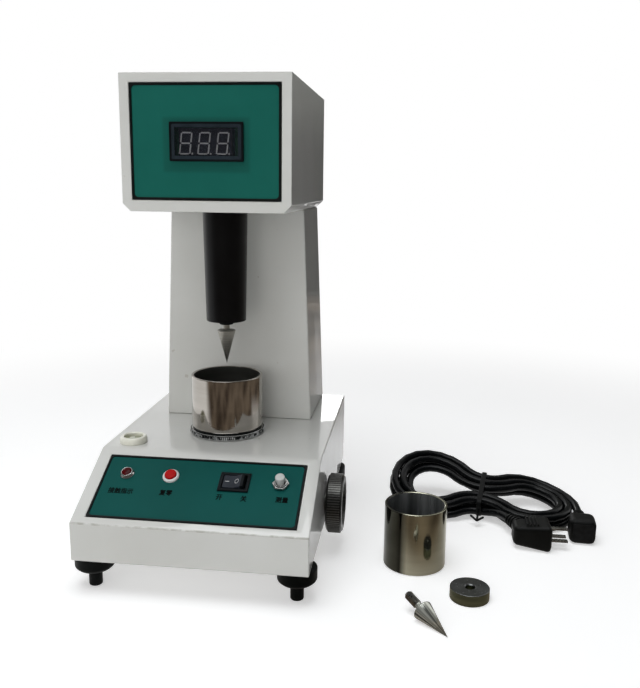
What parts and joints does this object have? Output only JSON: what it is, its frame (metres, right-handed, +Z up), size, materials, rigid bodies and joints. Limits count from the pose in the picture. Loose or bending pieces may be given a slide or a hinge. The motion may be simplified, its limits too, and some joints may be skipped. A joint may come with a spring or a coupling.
{
  "type": "liquid and plastic limit tester",
  "caption": "Bench cone penetrometer for soil limits, with digital head, drop cone, lift table, sample cup, controls and its loose set.",
  "frame": {"origin": "On the bench plane under the cone axis, at the centre of the four screw feet", "axes": "+X to the right seen from the front, +Y to the back, +Z up"},
  "size_m": [0.3717, 0.252, 0.342],
  "materials": {
    "housing_paint": "gloss off-white baked paint",
    "panel_green": "satin dark green printed panel",
    "edging_black": "matt black edging",
    "black_plastic": "moulded black plastic",
    "tube_black": "satin black coated steel",
    "polished_steel": "polished stainless steel",
    "turned_steel": "turned steel",
    "zinc_steel": "zinc-plated steel",
    "knob_metal": "dark grey metallic",
    "bronze": "plain bronze",
    "copper_coil": "varnished winding",
    "board_green": "circuit board",
    "display_smoke": "smoked clear window",
    "segment_grey": "unlit pale grey segments on dark grey",
    "lens_red": "clear dark red lens",
    "button_red": "bright red moulded cap",
    "button_white": "white grey moulded plastic",
    "level_ivory": "ivory moulded ring",
    "level_glass": "pale olive filled vial",
    "cord_black": "black flexible lead"
  },
  "bodies": {
    "root": {"base_housing": "housing_paint", "base_plate": "zinc_steel", "cover_screws": "zinc_steel", "column_shell": "housing_paint", "frame_bolts": "zinc_steel", "head_housing": "housing_paint", "head_cover": "housing_paint", "head_panel": "panel_green", "head_panel_edging": "edging_black", "display_bezel": "black_plastic", "display_window": "display_smoke", "display_digits": "segment_grey", "display_board": "board_green", "tube": "tube_black", "tube_cap": "black_plastic", "guide_bushes": "bronze", "magnet_core": "turned_steel", "magnet_coil": "copper_coil", "magnet_bracket": "zinc_steel", "sensor_body": "turned_steel", "stem_guide": "bronze", "shaft_bush": "knob_metal", "shaft_bracket": "zinc_steel", "control_panel": "panel_green", "control_panel_edging": "edging_black", "lamp_bezel": "polished_steel", "lamp_lens": "lens_red", "zero_button_ring": "button_white", "switch_frame": "black_plastic", "measure_button_bush": "polished_steel", "measure_button_nut": "polished_steel", "level_body": "level_ivory", "level_vial": "level_glass", "power_inlet": "black_plastic", "transformer": "copper_coil", "control_board": "board_green", "lead_hank": "cord_black", "lead_plug": "cord_black", "lead_connector": "cord_black", "lead_tie": "black_plastic"},
    "lift": {"lift_table": "polished_steel", "table_pad": "edging_black", "lift_stem": "turned_steel"},
    "knob": {"lift_knob": "knob_metal", "knob_shaft": "turned_steel", "pinion": "bronze"},
    "plunger": {"cone": "polished_steel", "cone_rod": "turned_steel", "armature": "turned_steel"},
    "cup": {"sample_cup": "polished_steel"},
    "zero_button": {"zero_button_cap": "button_red"},
    "measure_button": {"measure_button_cap": "button_white"},
    "rocker": {"switch_rocker": "black_plastic"},
    "foot_fl": {"foot_front_left": "black_plastic"},
    "foot_fr": {"foot_front_right": "black_plastic"},
    "foot_bl": {"foot_back_left": "black_plastic"},
    "foot_br": {"foot_back_right": "black_plastic"},
    "loose_cup": {"second_cup": "polished_steel"},
    "loose_cone": {"second_cone": "polished_steel"},
    "loose_weight": {"disc_weight": "turned_steel"}
  },
  "joints": [
    {"name": "knob_turn", "type": "hinge", "parent": "root", "child": "knob", "pos_m": [0.08, -0.0195, 0.037], "axis": [1, 0, 0], "range_deg": [0, 63.6]},
    {"name": "table_lift", "type": "slide", "parent": "root", "child": "lift", "axis": [0, 0, 1], "range_m": [0, 0.01]},
    {"name": "cone_drop", "type": "slide", "parent": "root", "child": "plunger", "axis": [0, 0, -1], "range_m": [0, 0.022]},
    {"name": "cup_lift", "type": "slide", "parent": "lift", "child": "cup", "axis": [0, 0, 1], "range_m": [0, 0.012]},
    {"name": "zero_press", "type": "slide", "parent": "root", "child": "zero_button", "axis": [0, 0.4645, -0.8855], "range_m": [0, 0.002], "stiffness_N_per_m": 300, "springref_m": -0.002},
    {"name": "measure_press", "type": "slide", "parent": "root", "child": "measure_button", "axis": [0, 0.4645, -0.8855], "range_m": [0, 0.003], "stiffness_N_per_m": 300, "springref_m": -0.002},
    {"name": "switch_rock", "type": "hinge", "parent": "root", "child": "rocker", "pos_m": [0.0229, -0.07517, 0.07017], "axis": [0, 0.8855, 0.4645], "range_deg": [0, 20]},
    {"name": "foot_fl_screw", "type": "slide", "parent": "root", "child": "foot_fl", "axis": [0, 0, -1], "range_m": [0, 0.006]},
    {"name": "foot_fr_screw", "type": "slide", "parent": "root", "child": "foot_fr", "axis": [0, 0, -1], "range_m": [0, 0.006]},
    {"name": "foot_bl_screw", "type": "slide", "parent": "root", "child": "foot_bl", "axis": [0, 0, -1], "range_m": [0, 0.006]},
    {"name": "foot_br_screw", "type": "slide", "parent": "root", "child": "foot_br", "axis": [0, 0, -1], "range_m": [0, 0.006]},
    {"name": "loose_cup_lift", "type": "slide", "parent": "root", "child": "loose_cup", "axis": [0, 0, 1], "range_m": [0, 0.08]},
    {"name": "loose_cone_lift", "type": "slide", "parent": "root", "child": "loose_cone", "axis": [0, 0, 1], "range_m": [0, 0.06]},
    {"name": "loose_weight_lift", "type": "slide", "parent": "root", "child": "loose_weight", "axis": [0, 0, 1], "range_m": [0, 0.06]}
  ],
  "couplings": [
    {"joint": "table_lift", "follows": "knob_turn", "m_per_rad": 0.009}
  ]
}
